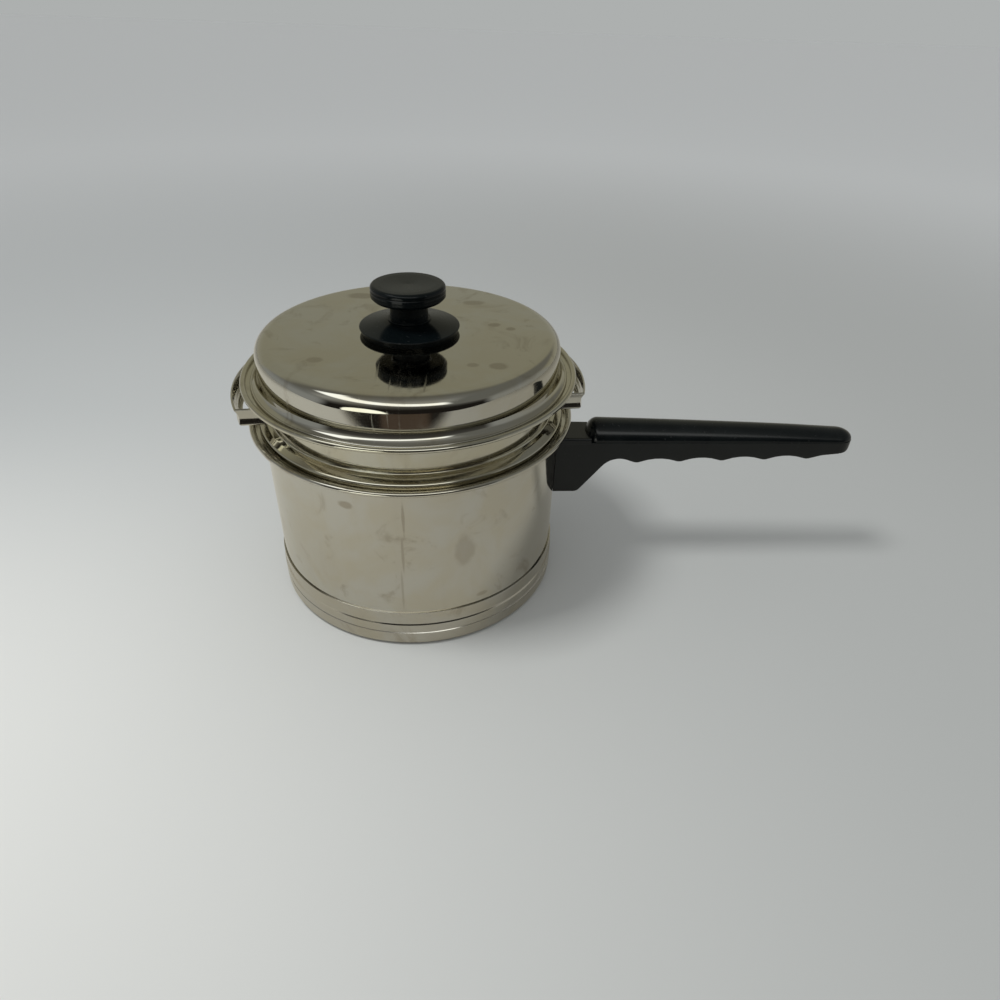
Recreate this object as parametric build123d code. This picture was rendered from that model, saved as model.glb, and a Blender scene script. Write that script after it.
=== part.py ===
from build123d import *
from math import atan, cos, radians, sin, sqrt, tan
import os

# A stovetop double boiler: a lower pan with a side handle, an upper pot that
# hangs on the pan's ledge, and a lid with a knob. Millimetres, +Z up. The
# origin is on the pan's axis, on the face it stands on. The handle runs along +X.

# Lower pan
body_radius = 82.5
pan_sheet = 1.0
ledge_height = 103.9
ledge_width = 5.05
ledge_rounding = 1.2
pan_bead_radius = 1.45
pan_bead_rise = 1.3
pan_floor_height = 6.8
pan_floor_rounding = 9.0

# Clad base
cap_sheet = 0.7
cap_clearance = 0.1
cap_height = 23.6
cap_shoulder_height = 15.9
cap_shoulder_fall = 1.0
cap_shoulder_out = 0.5
cap_shoulder_rounding = 0.7
cap_foot_rounding = 3.0
cap_groove_height = 9.4
cap_groove_half_width = 0.45
cap_groove_depth = 0.4
core_height = 12.0
core_foot_rounding = 2.4

# Handle: distances from the pan's wall, insets from the tip, and depths below the
# edge between slab and spine
handle_length = 176.9
handle_root_half_width = 11.05
handle_tip_half_width = 8.25
handle_edge_height = 88.0
handle_clearance = 0.15
neck_rise = 2.7
neck_depth = 33.9
neck_length = 19.5
neck_heel_distance = 14.0
neck_heel_rounding = 4.5
neck_slope_degrees = 52.8
neck_edge_rounding = 1.2
first_groove_rounding = 12.5
ridge_count = 5
first_ridge_distance = 48.0
last_ridge_inset = 26.9
ridge_depth = 13.6
ridge_rise = 0.66
finger_depth = 2.25
ridge_rounding = 6.0
finger_full_share = 0.97
tail_inset = 17.9
tail_depth = 8.7
tail_rounding = 12.0
tip_depth = 6.7
tip_rounding = 6.0
tip_overhang = 0.5
underside_rounding = 1.0

# Spine: its two ends, and stations between them with the height at each
spine_start_distance = 16.8
spine_root_distance = 24.0
spine_tip_inset = 9.4
spine_inset = 0.35
spine_station_shares = (0, 0.178, 0.429, 0.763, 1)
spine_heights = (10.2, 9.65, 8.7, 7.1, 5.2)
spine_end_degrees = (10.0, 30.0, 50.0, 70.0)

# Bracket, nut, washer and screw inside the handle's neck
bracket_sheet = 1.6
bracket_width = 14.0
bracket_depth = 4.0
bracket_height = 21.0
bracket_length = 14.5
bracket_bend = 1.0
pocket_clearance = 0.3
nut_radius = 4.0
nut_height = 4.0
nut_collar_radius = 3.1
screw_distance = 8.5
screw_radius = 2.0
thread_clearance = 0.05
weld_gap = 0.01
screw_hole_clearance = 0.4
screw_head_radius = 3.8
screw_head_height = 2.3
screw_past_nut = 1.0
washer_radius = 4.4
washer_thickness = 0.8
head_well_depth = 4.6
head_well_radius = 5.0

# Upper pot
pot_clearance = 3.5
pot_sheet = 0.9
pot_depth = 87.2
pot_floor_rounding = 10.0
pot_ledge_rise = 24.2
pot_ledge_width = 9.9
pot_shoulder_rounding = 4.0
pot_bead_radius = 1.5
pot_bead_rise = 1.4
skirt_reach = 6.6
skirt_tip_rounding = 0.6
skirt_foot_reach = 3.7
skirt_foot_fall = 2.2
skirt_foot_rounding = 1.0
skirt_brow_reach = 3.4
skirt_brow_height = 4.5
skirt_brow_rounding = 2.0
skirt_top_height = 6.0
skirt_top_rounding = 0.8

# Ears: how far they stand out from the pot's wall, and the section of their strip
ear_degrees = 7.3
ear_stand = 17.5
ear_half_span = 31.5
ear_height = 10.0
ear_below_ledge = 4.1
ear_sheet = 1.2
ear_waist_depth = 2.8
ear_waist_height = 5.0
ear_waist_rounding = 8.0
ear_foot_depth = 0.8
ear_foot_rounding = 1.6
ear_lip_depth = 4.6
ear_tab_length = 8.0

# Lid
lid_sheet = 0.8
lid_rim_clearance = 2.0
lid_rise = 22.3
lid_shoulder_rounding = 6.8
lid_crease_height = 5.2
lid_cove_out = 1.05
lid_cove_height = 2.3
lid_cove_rounding = 4.0
lid_flange_out = 3.35
lid_flange_height = 0.8
lid_curl_out = 3.85
lid_curl_radius = 0.7
lid_curl_flat = 0.05

# Knob
knob_skirt_radius = 26.6
knob_skirt_edge = 3.4
knob_skirt_height = 6.5
knob_skirt_rounding = 1.6
knob_collar_radius = 10.6
knob_skirt_wall = 2.6
knob_boss_radius = 7.0
knob_recess = 2.2
knob_foot_radius = 9.0
knob_waist_radius = 11.0
knob_waist_height = 5.6
knob_waist_rounding = 12.0
knob_flare_radius = 12.2
knob_flare_rounding = 3.0
knob_cap_radius = 19.4
knob_cap_bottom = 10.4
knob_cap_top = 18.6
knob_cap_rounding = 2.2
knob_under_rounding = 3.4
knob_dish_radius = 14.5
knob_dish_rounding = 6.0
knob_dish_depth = 0.5
knob_groove_count = 2
knob_groove_pitch = 2.6
knob_groove_from_top = 3.0
knob_groove_half_width = 0.3
knob_groove_depth = 0.3
bush_radius = 3.6
bush_length = 9.0
bush_clearance = 0.05
knob_screw_radius = 1.9
knob_screw_grip = 6.5
knob_washer_radius = 5.2

cut_overrun = 5.0
joined = 1e-5

body_inner = body_radius - pan_sheet
cap_upper_radius = body_radius + cap_clearance + cap_sheet
cap_lower_radius = cap_upper_radius + cap_shoulder_out
pot_radius = body_inner - pot_clearance
pot_ledge = ledge_height + pot_ledge_rise
pot_rim_inner = pot_radius - pot_sheet + pot_ledge_width
ear_reach = pot_radius + ear_stand
ear_top = pot_ledge - ear_below_ledge
lid_radius = pot_rim_inner - lid_rim_clearance - lid_curl_radius - lid_curl_out
lid_top = pot_ledge + lid_rise
knob_seat = lid_top + knob_skirt_height
handle_tip = body_radius + handle_length
neck_top = handle_edge_height + neck_rise
neck_bottom = handle_edge_height - neck_depth
neck_step = body_radius + neck_length
bracket_top = handle_edge_height - bracket_depth
bracket_bottom = bracket_top - bracket_height
bracket_reach = body_radius + bracket_length
screw_place = body_radius + screw_distance
spine_root = body_radius + spine_root_distance
spine_run = handle_length - spine_tip_inset - spine_root_distance
spine_stations = [spine_root + spine_run * share for share in spine_station_shares]


def outline(corners):
    """Closed flat face through corners given as across, up and rounding."""
    ends = []
    edges = []
    for i, (across, up, rounding) in enumerate(corners):
        here = Vector(across, up)
        back = (Vector(*corners[i - 1][:2]) - here).normalized()
        ahead = (Vector(*corners[(i + 1) % len(corners)][:2]) - here).normalized()
        if rounding == 0:
            ends.append((here, here))
            continue
        half = radians(back.get_angle(ahead) / 2)
        reach = rounding / tan(half)
        middle = here + (back + ahead).normalized() * (rounding / sin(half) - rounding)
        ends.append((here + back * reach, here + ahead * reach))
        edges.append(ThreePointArc(ends[-1][0], middle, ends[-1][1]))
    for i, (first, last) in enumerate(ends):
        following = ends[(i + 1) % len(ends)][0]
        if (following - last).length > joined:
            edges.append(Line(last, following))
    return make_face(Wire(edges))


def sheet(path, thick):
    """Section of bent sheet. The path is one face, the sheet lies to its right."""
    other = []
    for i, (across, up, bend) in enumerate(path):
        here = Vector(across, up)
        arriving = (here - Vector(*path[i - 1][:2])).normalized() if i else None
        leaving = (Vector(*path[i + 1][:2]) - here).normalized() if i + 1 < len(path) else arriving
        arriving = arriving or leaving
        before = Vector(arriving.Y, -arriving.X)
        after = Vector(leaving.Y, -leaving.X)
        moved = here + (before + after) * (thick / (1 + before.dot(after)))
        turn = arriving.cross(leaving).Z
        side = 0 if bend == 0 else max(bend + (thick if turn > 0 else -thick), 0)
        other.append((moved.X, moved.Y, side))
    return outline(list(path) + other[::-1])


def turned(section):
    """Solid of revolution about the pan's axis from a section in radius and height."""
    return revolve(Plane.XZ * section, Axis.Z)


def disc(radius, low, high):
    """Upright cylinder on the pan's axis between two heights."""
    return Pos(0, 0, low) * Cylinder(radius, high - low, align=(Align.CENTER, Align.CENTER, Align.MIN))


def ring_groove(radius, height, half_width, depth):
    """Ring with a V section, for cutting a fine groove round an outside edge."""
    return turned(outline([
        (radius - depth, height, 0),
        (radius + depth, height - half_width * 2, 0),
        (radius + depth, height + half_width * 2, 0),
    ]))


def slab(x_low, x_high, half_width, z_low, z_high):
    """Straight block between two distances and two heights, centred across."""
    block = Box(x_high - x_low, half_width * 2, z_high - z_low)
    return Pos((x_low + x_high) / 2, 0, (z_low + z_high) / 2) * block


def pan_shell():
    """Floor, straight wall, inner ledge and rolled rim, one drawn sheet."""
    bead_inner = body_inner + ledge_width
    bead_height = ledge_height + pan_bead_rise
    path = [
        (0, pan_floor_height, 0),
        (body_inner, pan_floor_height, pan_floor_rounding),
        (body_inner, ledge_height, ledge_rounding),
        (bead_inner, ledge_height, 0),
        (bead_inner, bead_height, 0),
    ]
    bead = Pos(0, 0, bead_height) * Torus(bead_inner + pan_bead_radius, pan_bead_radius)
    return turned(sheet(path, pan_sheet)) + bead


def base_cap():
    """Outer cap of the clad base: seam edge, shoulder, fine groove and rounded foot."""
    path = [
        (cap_upper_radius, cap_height, 0),
        (cap_upper_radius, cap_shoulder_height, cap_shoulder_rounding),
        (cap_lower_radius, cap_shoulder_height - cap_shoulder_fall, cap_shoulder_rounding),
        (cap_lower_radius, 0, cap_foot_rounding),
        (0, 0, 0),
    ]
    groove = ring_groove(cap_lower_radius, cap_groove_height, cap_groove_half_width, cap_groove_depth)
    return turned(sheet(path, cap_sheet)) - groove


def heat_core():
    """Aluminium disc that fills the base between the pan's floor and the cap."""
    low = cap_sheet
    reach = cap_lower_radius - cap_sheet - cap_clearance
    wall = body_radius + cap_clearance
    under = pan_floor_height - pan_sheet
    core = turned(outline([(0, low, 0), (reach, low, core_foot_rounding), (reach, core_height, 0),
                           (0, core_height, 0)]))
    pan_space = turned(outline([
        (0, under, 0),
        (wall, under, pan_floor_rounding + pan_sheet + cap_clearance),
        (wall, core_height + pan_floor_rounding, 0),
        (0, core_height + pan_floor_rounding, 0),
    ]))
    return core - pan_space


def handle_side():
    """Side outline of the neck and the slab with its finger grooves."""
    ridge_run = handle_length - last_ridge_inset - first_ridge_distance
    ridge_pitch = ridge_run / (ridge_count - 1)
    half_pitch = ridge_pitch / 2
    swing = 2 * atan(finger_depth / half_pitch)
    arcs_total = half_pitch / sin(swing)
    groove_rounding = (arcs_total - ridge_rounding) * finger_full_share
    lift = 1 / cos(swing) - 1
    ridge_drop = ridge_rounding * lift
    groove_drop = arcs_total * lift - ridge_drop
    slope = tan(radians(neck_slope_degrees))
    fall = tan(swing)
    corner_height = handle_edge_height - ridge_depth - ridge_drop
    first_ridge = body_radius + first_ridge_distance
    neck_heel = body_radius + neck_heel_distance
    tip_height = handle_edge_height - tip_depth
    meet = (corner_height + fall * first_ridge + slope * neck_heel - neck_bottom) / (slope + fall)
    corners = [
        (0, neck_bottom, 0),
        (neck_heel, neck_bottom, neck_heel_rounding),
        (meet, neck_bottom + slope * (meet - neck_heel), first_groove_rounding),
    ]
    for i in range(ridge_count):
        place = first_ridge + ridge_pitch * i
        corners.append((place, corner_height + ridge_rise * i, ridge_rounding))
        if i + 1 < ridge_count:
            hollow = corner_height + ridge_drop + finger_depth + groove_drop
            corners.append((place + half_pitch, hollow + ridge_rise * (i + 1 / 2), groove_rounding))
    corners += [
        (handle_tip - tail_inset, handle_edge_height - tail_depth, tail_rounding),
        (handle_tip + tip_overhang, tip_height, tip_rounding),
        (handle_tip + tip_overhang, handle_edge_height, 0),
        (neck_step, handle_edge_height, 0),
        (neck_step, neck_top, 0),
        (0, neck_top, 0),
    ]
    return outline(corners)


def handle_half_width(place):
    """Half width of the slab at a distance from the pan's axis."""
    share = (place - body_radius) / (handle_tip - body_radius)
    return handle_root_half_width + (handle_tip_half_width - handle_root_half_width) * share


def handle_slab():
    """Neck and slab: the side outline within the tapered, round-ended plan outline."""
    start = handle_half_width(0)
    end = handle_tip_half_width
    plan = outline([
        (0, -start, 0),
        (handle_tip, -end, end),
        (handle_tip, end, end),
        (0, start, 0),
    ])
    upright = extrude(plan, amount=neck_top + cut_overrun)
    across = extrude(Plane.XZ * handle_side(), amount=start + cut_overrun, both=True)
    block = upright & across
    sides = block.edges().filter_by(Axis.Z, reverse=True)
    sides = sides.filter_by(lambda e: abs(e.center().Y) > underside_rounding)
    under = sides.filter_by(lambda e: e.center().Z < handle_edge_height - underside_rounding)
    block = fillet(under, underside_rounding)
    above = block.edges().filter_by(lambda e: e.center().Z > neck_top - neck_edge_rounding)
    above = above.filter_by(lambda e: abs(e.center().Y) > neck_edge_rounding)
    return fillet(above.filter_by(Axis.Z, reverse=True), neck_edge_rounding)


def spine_section(place, half, height):
    """Half ellipse that stands on the slab's edge plane at one station."""
    plane = Plane((place, 0, handle_edge_height), x_dir=(0, 1, 0), z_dir=(1, 0, 0))
    arch = EllipticalCenterArc((0, 0), half, height, start_angle=0, arc_size=180)
    return plane * make_face(Wire([arch, Line((-half, 0), (half, 0))]))


def spine_end(place, length, height):
    """Rounded end of the spine: the section shrinks along a quarter of an ellipse."""
    half = handle_half_width(place) - spine_inset
    sections = [spine_section(place, half, height)]
    for angle in reversed(spine_end_degrees):
        share = sin(radians(angle))
        beyond = place + length * cos(radians(angle))
        sections.append(spine_section(beyond, half * share, height * share))
    return loft(sections)


def handle_spine():
    """The rounded upper half of the grip, rounded at both ends, lower at the tip."""
    stations = list(zip(spine_stations, spine_heights))
    middle = loft([spine_section(s, handle_half_width(s) - spine_inset, h) for s, h in stations])
    root = spine_end(spine_root, spine_start_distance - spine_root_distance, spine_heights[0])
    tip = spine_end(handle_tip - spine_tip_inset, spine_tip_inset, spine_heights[-1])
    return middle + root + tip


def handle_pocket():
    """Space in the neck for the bracket, with the bore and well for its screw."""
    half = bracket_width / 2 + pocket_clearance
    reach = bracket_reach + pocket_clearance
    pocket = slab(0, reach, half, bracket_bottom, bracket_top + pocket_clearance)
    place = Pos(screw_place, 0, 0)
    bore = place * disc(screw_radius + screw_hole_clearance, neck_bottom, bracket_top)
    well = place * disc(head_well_radius, neck_bottom - cut_overrun, neck_bottom + head_well_depth)
    return pocket + bore + well


def handle_grip():
    """Whole moulded handle, hollowed at the root and curved to the pan's wall."""
    grip = handle_slab() + handle_spine()
    wall = disc(body_radius + handle_clearance, 0, neck_top + cut_overrun)
    return grip - wall - handle_pocket()


def handle_bracket():
    """Steel channel welded to the wall, its two leaves reaching into the neck."""
    sagitta = body_radius - sqrt(body_radius ** 2 - (bracket_width / 2) ** 2)
    web = body_radius - sagitta
    path = [
        (bracket_reach, bracket_bottom, 0),
        (web, bracket_bottom, bracket_bend + bracket_sheet),
        (web, bracket_top, bracket_bend + bracket_sheet),
        (bracket_reach, bracket_top, 0),
    ]
    channel = extrude(Plane.XZ * sheet(path, bracket_sheet), amount=bracket_width / 2, both=True)
    hole = disc(nut_collar_radius + thread_clearance, bracket_bottom - cut_overrun,
                bracket_bottom + bracket_sheet + cut_overrun)
    return channel - disc(body_radius + weld_gap, 0, ledge_height) - Pos(screw_place, 0, 0) * hole


def bracket_nut():
    """Clinch nut that stands on the lower leaf, its collar in the leaf's hole."""
    seat = bracket_bottom + bracket_sheet
    nut = disc(nut_radius, seat, seat + nut_height) + disc(nut_collar_radius, bracket_bottom, seat)
    bore = disc(screw_radius + thread_clearance, bracket_bottom, seat + nut_height)
    return Pos(screw_place, 0, 0) * (nut - bore)


def washer(radius, bore, low):
    """Flat washer on the axis, from the given height up."""
    return disc(radius, low, low + washer_thickness) - disc(bore, low, low + washer_thickness)


def screw(radius, seat, top):
    """Screw pointing up: the head hangs below the seat height."""
    return disc(screw_head_radius, seat - screw_head_height, seat) + disc(radius, seat, top)


def handle_fasteners():
    """Washer and screw at the underside of the neck."""
    seat = neck_bottom + head_well_depth
    low = seat - washer_thickness
    place = Pos(screw_place, 0, 0)
    top = bracket_bottom + bracket_sheet + nut_height + screw_past_nut
    ring = place * washer(washer_radius, screw_radius + thread_clearance, low)
    return ring, place * screw(screw_radius, low, top)


def insert_shell():
    """Upper pot: floor, wall, swaged skirt that rests on the ledge, ledge and rim."""
    floor = pot_ledge - pot_depth - pot_sheet
    ledge_under = pot_ledge - pot_sheet
    bead_height = pot_ledge + pot_bead_rise
    path = [
        (0, floor, 0),
        (pot_radius, floor, pot_floor_rounding),
        (pot_radius, ledge_height - skirt_foot_fall, skirt_foot_rounding),
        (pot_radius + skirt_foot_reach, ledge_height, skirt_foot_rounding),
        (pot_radius + skirt_reach, ledge_height, skirt_tip_rounding),
        (pot_radius + skirt_brow_reach, ledge_height + skirt_brow_height, skirt_brow_rounding),
        (pot_radius, ledge_height + skirt_top_height, skirt_top_rounding),
        (pot_radius, ledge_under, pot_shoulder_rounding - pot_sheet),
        (pot_rim_inner + pot_sheet, ledge_under, 0),
        (pot_rim_inner + pot_sheet, bead_height, 0),
    ]
    bead = Pos(0, 0, bead_height) * Torus(pot_rim_inner + pot_bead_radius, pot_bead_radius)
    return turned(sheet(path, -pot_sheet)) + bead


def ear_face(edge, inward):
    """Outer face of the ear's strip, top edge first: waist, foot and the lip turned in."""
    low = ear_top - ear_height
    return [
        (edge, ear_top, 0),
        (edge + inward * ear_waist_depth, ear_top - ear_waist_height, ear_waist_rounding),
        (edge + inward * ear_foot_depth, low, ear_foot_rounding),
        (edge + inward * ear_lip_depth, low, 0),
    ]


def ear():
    """Strip ear: curved front and two straight legs that meet at sharp corners."""
    low = ear_top - ear_height
    front_face = ear_face(ear_reach, -1)
    leg_face = ear_face(ear_half_span, -1)
    front = turned(sheet(front_face, ear_sheet))
    inside = turned(outline([(0, ear_top, 0)] + front_face[:3] + [(0, low, 0)]))
    leg = extrude(Plane.YZ * sheet(leg_face, ear_sheet), amount=ear_reach)
    half_between = outline([(0, ear_top, 0)] + leg_face[:3] + [(0, low, 0)])
    between = extrude(Plane.YZ * half_between, amount=ear_reach)
    between = between + mirror(between, about=Plane.XZ)
    legs = (leg + mirror(leg, about=Plane.XZ)) & inside
    wall = disc(pot_radius + weld_gap, low, ear_top)
    ring = disc(pot_radius + weld_gap + ear_sheet, low, ear_top) - wall
    tab = Box(pot_radius, ear_tab_length, ear_height, align=(Align.MIN, Align.MAX, Align.MIN))
    tab = ring & Pos(0, ear_half_span - ear_waist_depth, low) * tab
    return (front & between) + legs + tab + mirror(tab, about=Plane.XZ) - wall


def lid_shell():
    """Lid: flat top, rounded shoulder, wall, and a hollow flange with a curled edge."""
    hole = knob_screw_radius + screw_hole_clearance
    curl = pot_ledge + lid_curl_radius - lid_curl_flat
    path = [
        (hole, lid_top, 0),
        (lid_radius, lid_top, lid_shoulder_rounding),
        (lid_radius, pot_ledge + lid_crease_height, 0),
        (lid_radius + lid_cove_out, pot_ledge + lid_cove_height, lid_cove_rounding),
        (lid_radius + lid_flange_out, pot_ledge + lid_flange_height, 0),
    ]
    edge = Torus(lid_radius + lid_curl_out, lid_curl_radius)
    lid = turned(sheet(path, lid_sheet)) + Pos(0, 0, curl) * edge
    return lid - disc(lid_radius + cut_overrun, pot_ledge - cut_overrun, pot_ledge)


def knob_skirt():
    """Moulded skirt under the knob: upright edge, shallow cone, hollow beneath."""
    bore = knob_screw_radius + screw_hole_clearance
    inner = knob_skirt_radius - knob_skirt_wall
    edge = lid_top + knob_skirt_edge
    return turned(outline([
        (bore, lid_top, 0),
        (knob_boss_radius, lid_top, 0),
        (knob_boss_radius, lid_top + knob_recess, 0),
        (inner, lid_top + knob_recess, 0),
        (inner, lid_top, 0),
        (knob_skirt_radius, lid_top, 0),
        (knob_skirt_radius, edge, knob_skirt_rounding),
        (knob_collar_radius, knob_seat, 0),
        (bore, knob_seat, 0),
    ]))


def knob_grip():
    """Moulded knob: waisted neck and round cap with fine grooves and a dished top."""
    cap_low = knob_seat + knob_cap_bottom
    cap_high = knob_seat + knob_cap_top
    knob = turned(outline([
        (0, knob_seat, 0),
        (knob_foot_radius, knob_seat, 0),
        (knob_waist_radius, knob_seat + knob_waist_height, knob_waist_rounding),
        (knob_flare_radius, cap_low, knob_flare_rounding),
        (knob_cap_radius, cap_low, knob_under_rounding),
        (knob_cap_radius, cap_high, knob_cap_rounding),
        (knob_dish_radius, cap_high, knob_dish_rounding),
        (0, cap_high - knob_dish_depth, 0),
    ]))
    for i in range(knob_groove_count):
        height = cap_high - knob_groove_from_top - knob_groove_pitch * i
        knob -= ring_groove(knob_cap_radius, height, knob_groove_half_width, knob_groove_depth)
    return knob - disc(bush_radius + bush_clearance, knob_seat, knob_seat + bush_length)


def knob_insert():
    """Threaded bush moulded into the foot of the knob."""
    bush = disc(bush_radius, knob_seat, knob_seat + bush_length)
    return bush - disc(knob_screw_radius + thread_clearance, knob_seat, knob_seat + bush_length)


def knob_fasteners():
    """Washer and screw that hold the knob from inside the lid."""
    low = lid_top - lid_sheet - washer_thickness
    ring = washer(knob_washer_radius, knob_screw_radius + thread_clearance, low)
    return ring, screw(knob_screw_radius, low, knob_seat + knob_screw_grip)


handle_washer, handle_screw = handle_fasteners()
knob_washer, knob_screw = knob_fasteners()
one_ear = ear()

nodes = {
    "pan_shell": pan_shell(),
    "heat_core": heat_core(),
    "base_cap": base_cap(),
    "handle_bracket": handle_bracket(),
    "bracket_nut": bracket_nut(),
    "handle_grip": handle_grip(),
    "handle_washer": handle_washer,
    "handle_screw": handle_screw,
    "insert_shell": insert_shell(),
    "ear_right": Rot(0, 0, ear_degrees) * one_ear,
    "ear_left": Rot(0, 0, ear_degrees + 180) * one_ear,
    "lid_shell": lid_shell(),
    "knob_skirt": knob_skirt(),
    "knob_grip": knob_grip(),
    "knob_insert": knob_insert(),
    "knob_washer": knob_washer,
    "knob_screw": knob_screw,
}

os.makedirs("parts", exist_ok=True)
for name, solid in nodes.items():
    export_step(solid, f"parts/{name}.step")
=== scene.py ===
from math import asin, atan, atan2, ceil, cos, degrees, pi, radians, sin, sqrt, tan

import bmesh
import bpy
from mathutils import Matrix, Vector

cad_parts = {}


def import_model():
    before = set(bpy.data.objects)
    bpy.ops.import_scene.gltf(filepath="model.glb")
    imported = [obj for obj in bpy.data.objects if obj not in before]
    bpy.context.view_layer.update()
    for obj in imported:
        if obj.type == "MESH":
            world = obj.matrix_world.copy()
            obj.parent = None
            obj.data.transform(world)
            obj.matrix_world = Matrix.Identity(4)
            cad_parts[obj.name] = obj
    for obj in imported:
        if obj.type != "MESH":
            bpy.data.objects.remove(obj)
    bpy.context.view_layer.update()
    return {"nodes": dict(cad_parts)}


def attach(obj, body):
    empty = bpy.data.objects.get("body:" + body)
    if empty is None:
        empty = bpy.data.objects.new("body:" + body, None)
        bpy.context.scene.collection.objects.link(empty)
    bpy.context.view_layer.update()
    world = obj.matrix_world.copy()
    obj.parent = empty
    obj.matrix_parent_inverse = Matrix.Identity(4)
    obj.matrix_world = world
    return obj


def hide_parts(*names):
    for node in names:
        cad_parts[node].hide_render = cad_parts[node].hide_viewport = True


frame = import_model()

# Lengths are in millimetres here and are scaled once, when a mesh is made.
# Pairs are across and up, from the part of the section that their name starts with.
mm = 0.001
arc_step = 9.0
lathe_turns = 224
small_turns = 96

# Camera: where it stands, how far it looks down, its heading and its roll
camera_place = (32.46, -353.28, 291.7)
camera_pitch = 35.44
camera_heading = -3.0
camera_roll = -2.0
camera_lens = 24.95
camera_sensor = 36.0

# Lower pan
body_radius = 82.5
pan_sheet = 1.0
ledge_height = 103.9
pan_bead_inner = 86.55
pan_bead_centre = 105.2
pan_bead_radius = 1.45
pan_floor_height = 6.8

# Clad base
cap_sheet = 0.7
cap_upper_radius = 83.3
cap_lower_radius = 83.8
cap_height = 23.6
cap_shoulder_height = 15.9
cap_shoulder_fall = 1.0
cap_groove_height = 9.4
cap_groove_half_width = 0.45
cap_groove_depth = 0.4
cap_foot_rounding = 3.0

# Upper pot
pot_radius = 78.0
pot_sheet = 0.9
pot_floor = 40.0
pot_ledge = 128.1
pot_bead_inner = 87.0
pot_bead_centre = 129.5
pot_bead_radius = 1.5
pot_bead_out = 9.0
swage_foot = (3.7, 2.2)
swage_reach = 6.6
swage_brow = (5.7, 3.6)
swage_top = (2.4, 5.6)
swage_height = 6.2

# Lid and knob
lid_sheet = 0.8
lid_radius = 80.45
lid_top = 150.4
lid_hole = 2.3
lid_shoulder_rounding = 6.8
lid_crease_height = 5.2
lid_cove = (1.05, 2.3)
lid_flange = (3.35, 0.8)
lid_curl_centre = 84.3
lid_curl_height = 0.65
lid_curl_radius = 0.7
knob_seat = 156.9
skirt_radius = 26.6
skirt_foot = 25.0
skirt_edge = 3.3
skirt_inner = 23.2
skirt_recess = 2.2
skirt_top_radius = 10.6
skirt_ridge_step = 0.8
knob_collar_radius = 11.3
knob_collar_height = 0.8
knob_neck_radius = 10.0
knob_cap_radius = 19.4
knob_groove_floor = 19.1

# Handle
grip_gap = 82.65
grip_tip = 259.4
grip_root_half = 11.05
grip_tip_half = 8.25
grip_edge = 88.0
neck_top = 90.7
neck_bottom = 54.1
neck_step = 102.0
neck_heel = 96.5
spine_places = (106.5, 132.0, 168.0, 216.0, 250.0)
spine_heights = (10.2, 9.65, 8.7, 7.1, 5.2)
spine_inset = 0.35
spine_root_reach = 7.2
ridge_count = 5
ridge_first = 130.5
ridge_pitch = 25.5
ridge_height = 74.4
ridge_rise = 0.66
ridge_rounding = 6.0
finger_depth = 2.25
finger_full_share = 0.97
neck_slope_degrees = 52.8
neck_heel_rounding = 4.5
first_groove_rounding = 12.5
grip_tail = (241.5, 79.3, 12.0)
tip_height = 81.3
tip_rounding = 6.0
tip_overhang = 0.5
seam_drop = 0.9
seam_width = 0.24
bracket_pocket = ((70, -7.3, 63), (97.3, 7.3, 84.3))
screw_place = (91.0, 0)

# Ears: outer edge of the strip, measured from the pot's axis
ear_reach = 95.5
ear_half_span = 31.5
ear_top = 124.0
ear_height = 10.0
ear_sheet = 1.2
ear_degrees = 7.3
ear_tab_start = 20.7


def rounded(corners, closed=True):
    """Points along a line through corners given as across, up and rounding."""
    points = []
    count = len(corners)
    for i, (across, up, rounding) in enumerate(corners):
        here = Vector((across, up))
        if rounding == 0 or (not closed and i in (0, count - 1)):
            points.append((across, up))
            continue
        back = (Vector(corners[i - 1][:2]) - here).normalized()
        ahead = (Vector(corners[(i + 1) % count][:2]) - here).normalized()
        half = back.angle(ahead) / 2
        centre = here + (back + ahead).normalized() * (rounding / sin(half))
        first = here + back * (rounding / tan(half)) - centre
        last = here + ahead * (rounding / tan(half)) - centre
        start = atan2(first.y, first.x)
        swing = (atan2(last.y, last.x) - start + pi) % (2 * pi) - pi
        steps = max(2, ceil(degrees(abs(swing)) / arc_step))
        for k in range(steps + 1):
            angle = start + swing * k / steps
            points.append((centre.x + rounding * cos(angle), centre.y + rounding * sin(angle)))
    return points


def other_face(path, thick):
    """The far face of bent sheet that lies to the right of the path."""
    other = []
    for i, (across, up, bend) in enumerate(path):
        here = Vector((across, up))
        arriving = (here - Vector(path[i - 1][:2])).normalized() if i else None
        leaving = (Vector(path[i + 1][:2]) - here).normalized() if i + 1 < len(path) else arriving
        arriving = arriving or leaving
        before = Vector((arriving.y, -arriving.x))
        after = Vector((leaving.y, -leaving.x))
        moved = here + (before + after) * (thick / (1 + before.dot(after)))
        turn = arriving.x * leaving.y - arriving.y * leaving.x
        side = 0 if bend == 0 else max(bend + (thick if turn > 0 else -thick), 0)
        other.append((moved.x, moved.y, side))
    return other


def arc(across, up, radius, start, end, step=12.0):
    """Points of an arc, as corners without rounding, both ends given in degrees."""
    steps = max(2, ceil(abs(end - start) / step))
    angles = [radians(start + (end - start) * k / steps) for k in range(steps + 1)]
    return [(across + radius * cos(a), up + radius * sin(a), 0) for a in angles]


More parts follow.
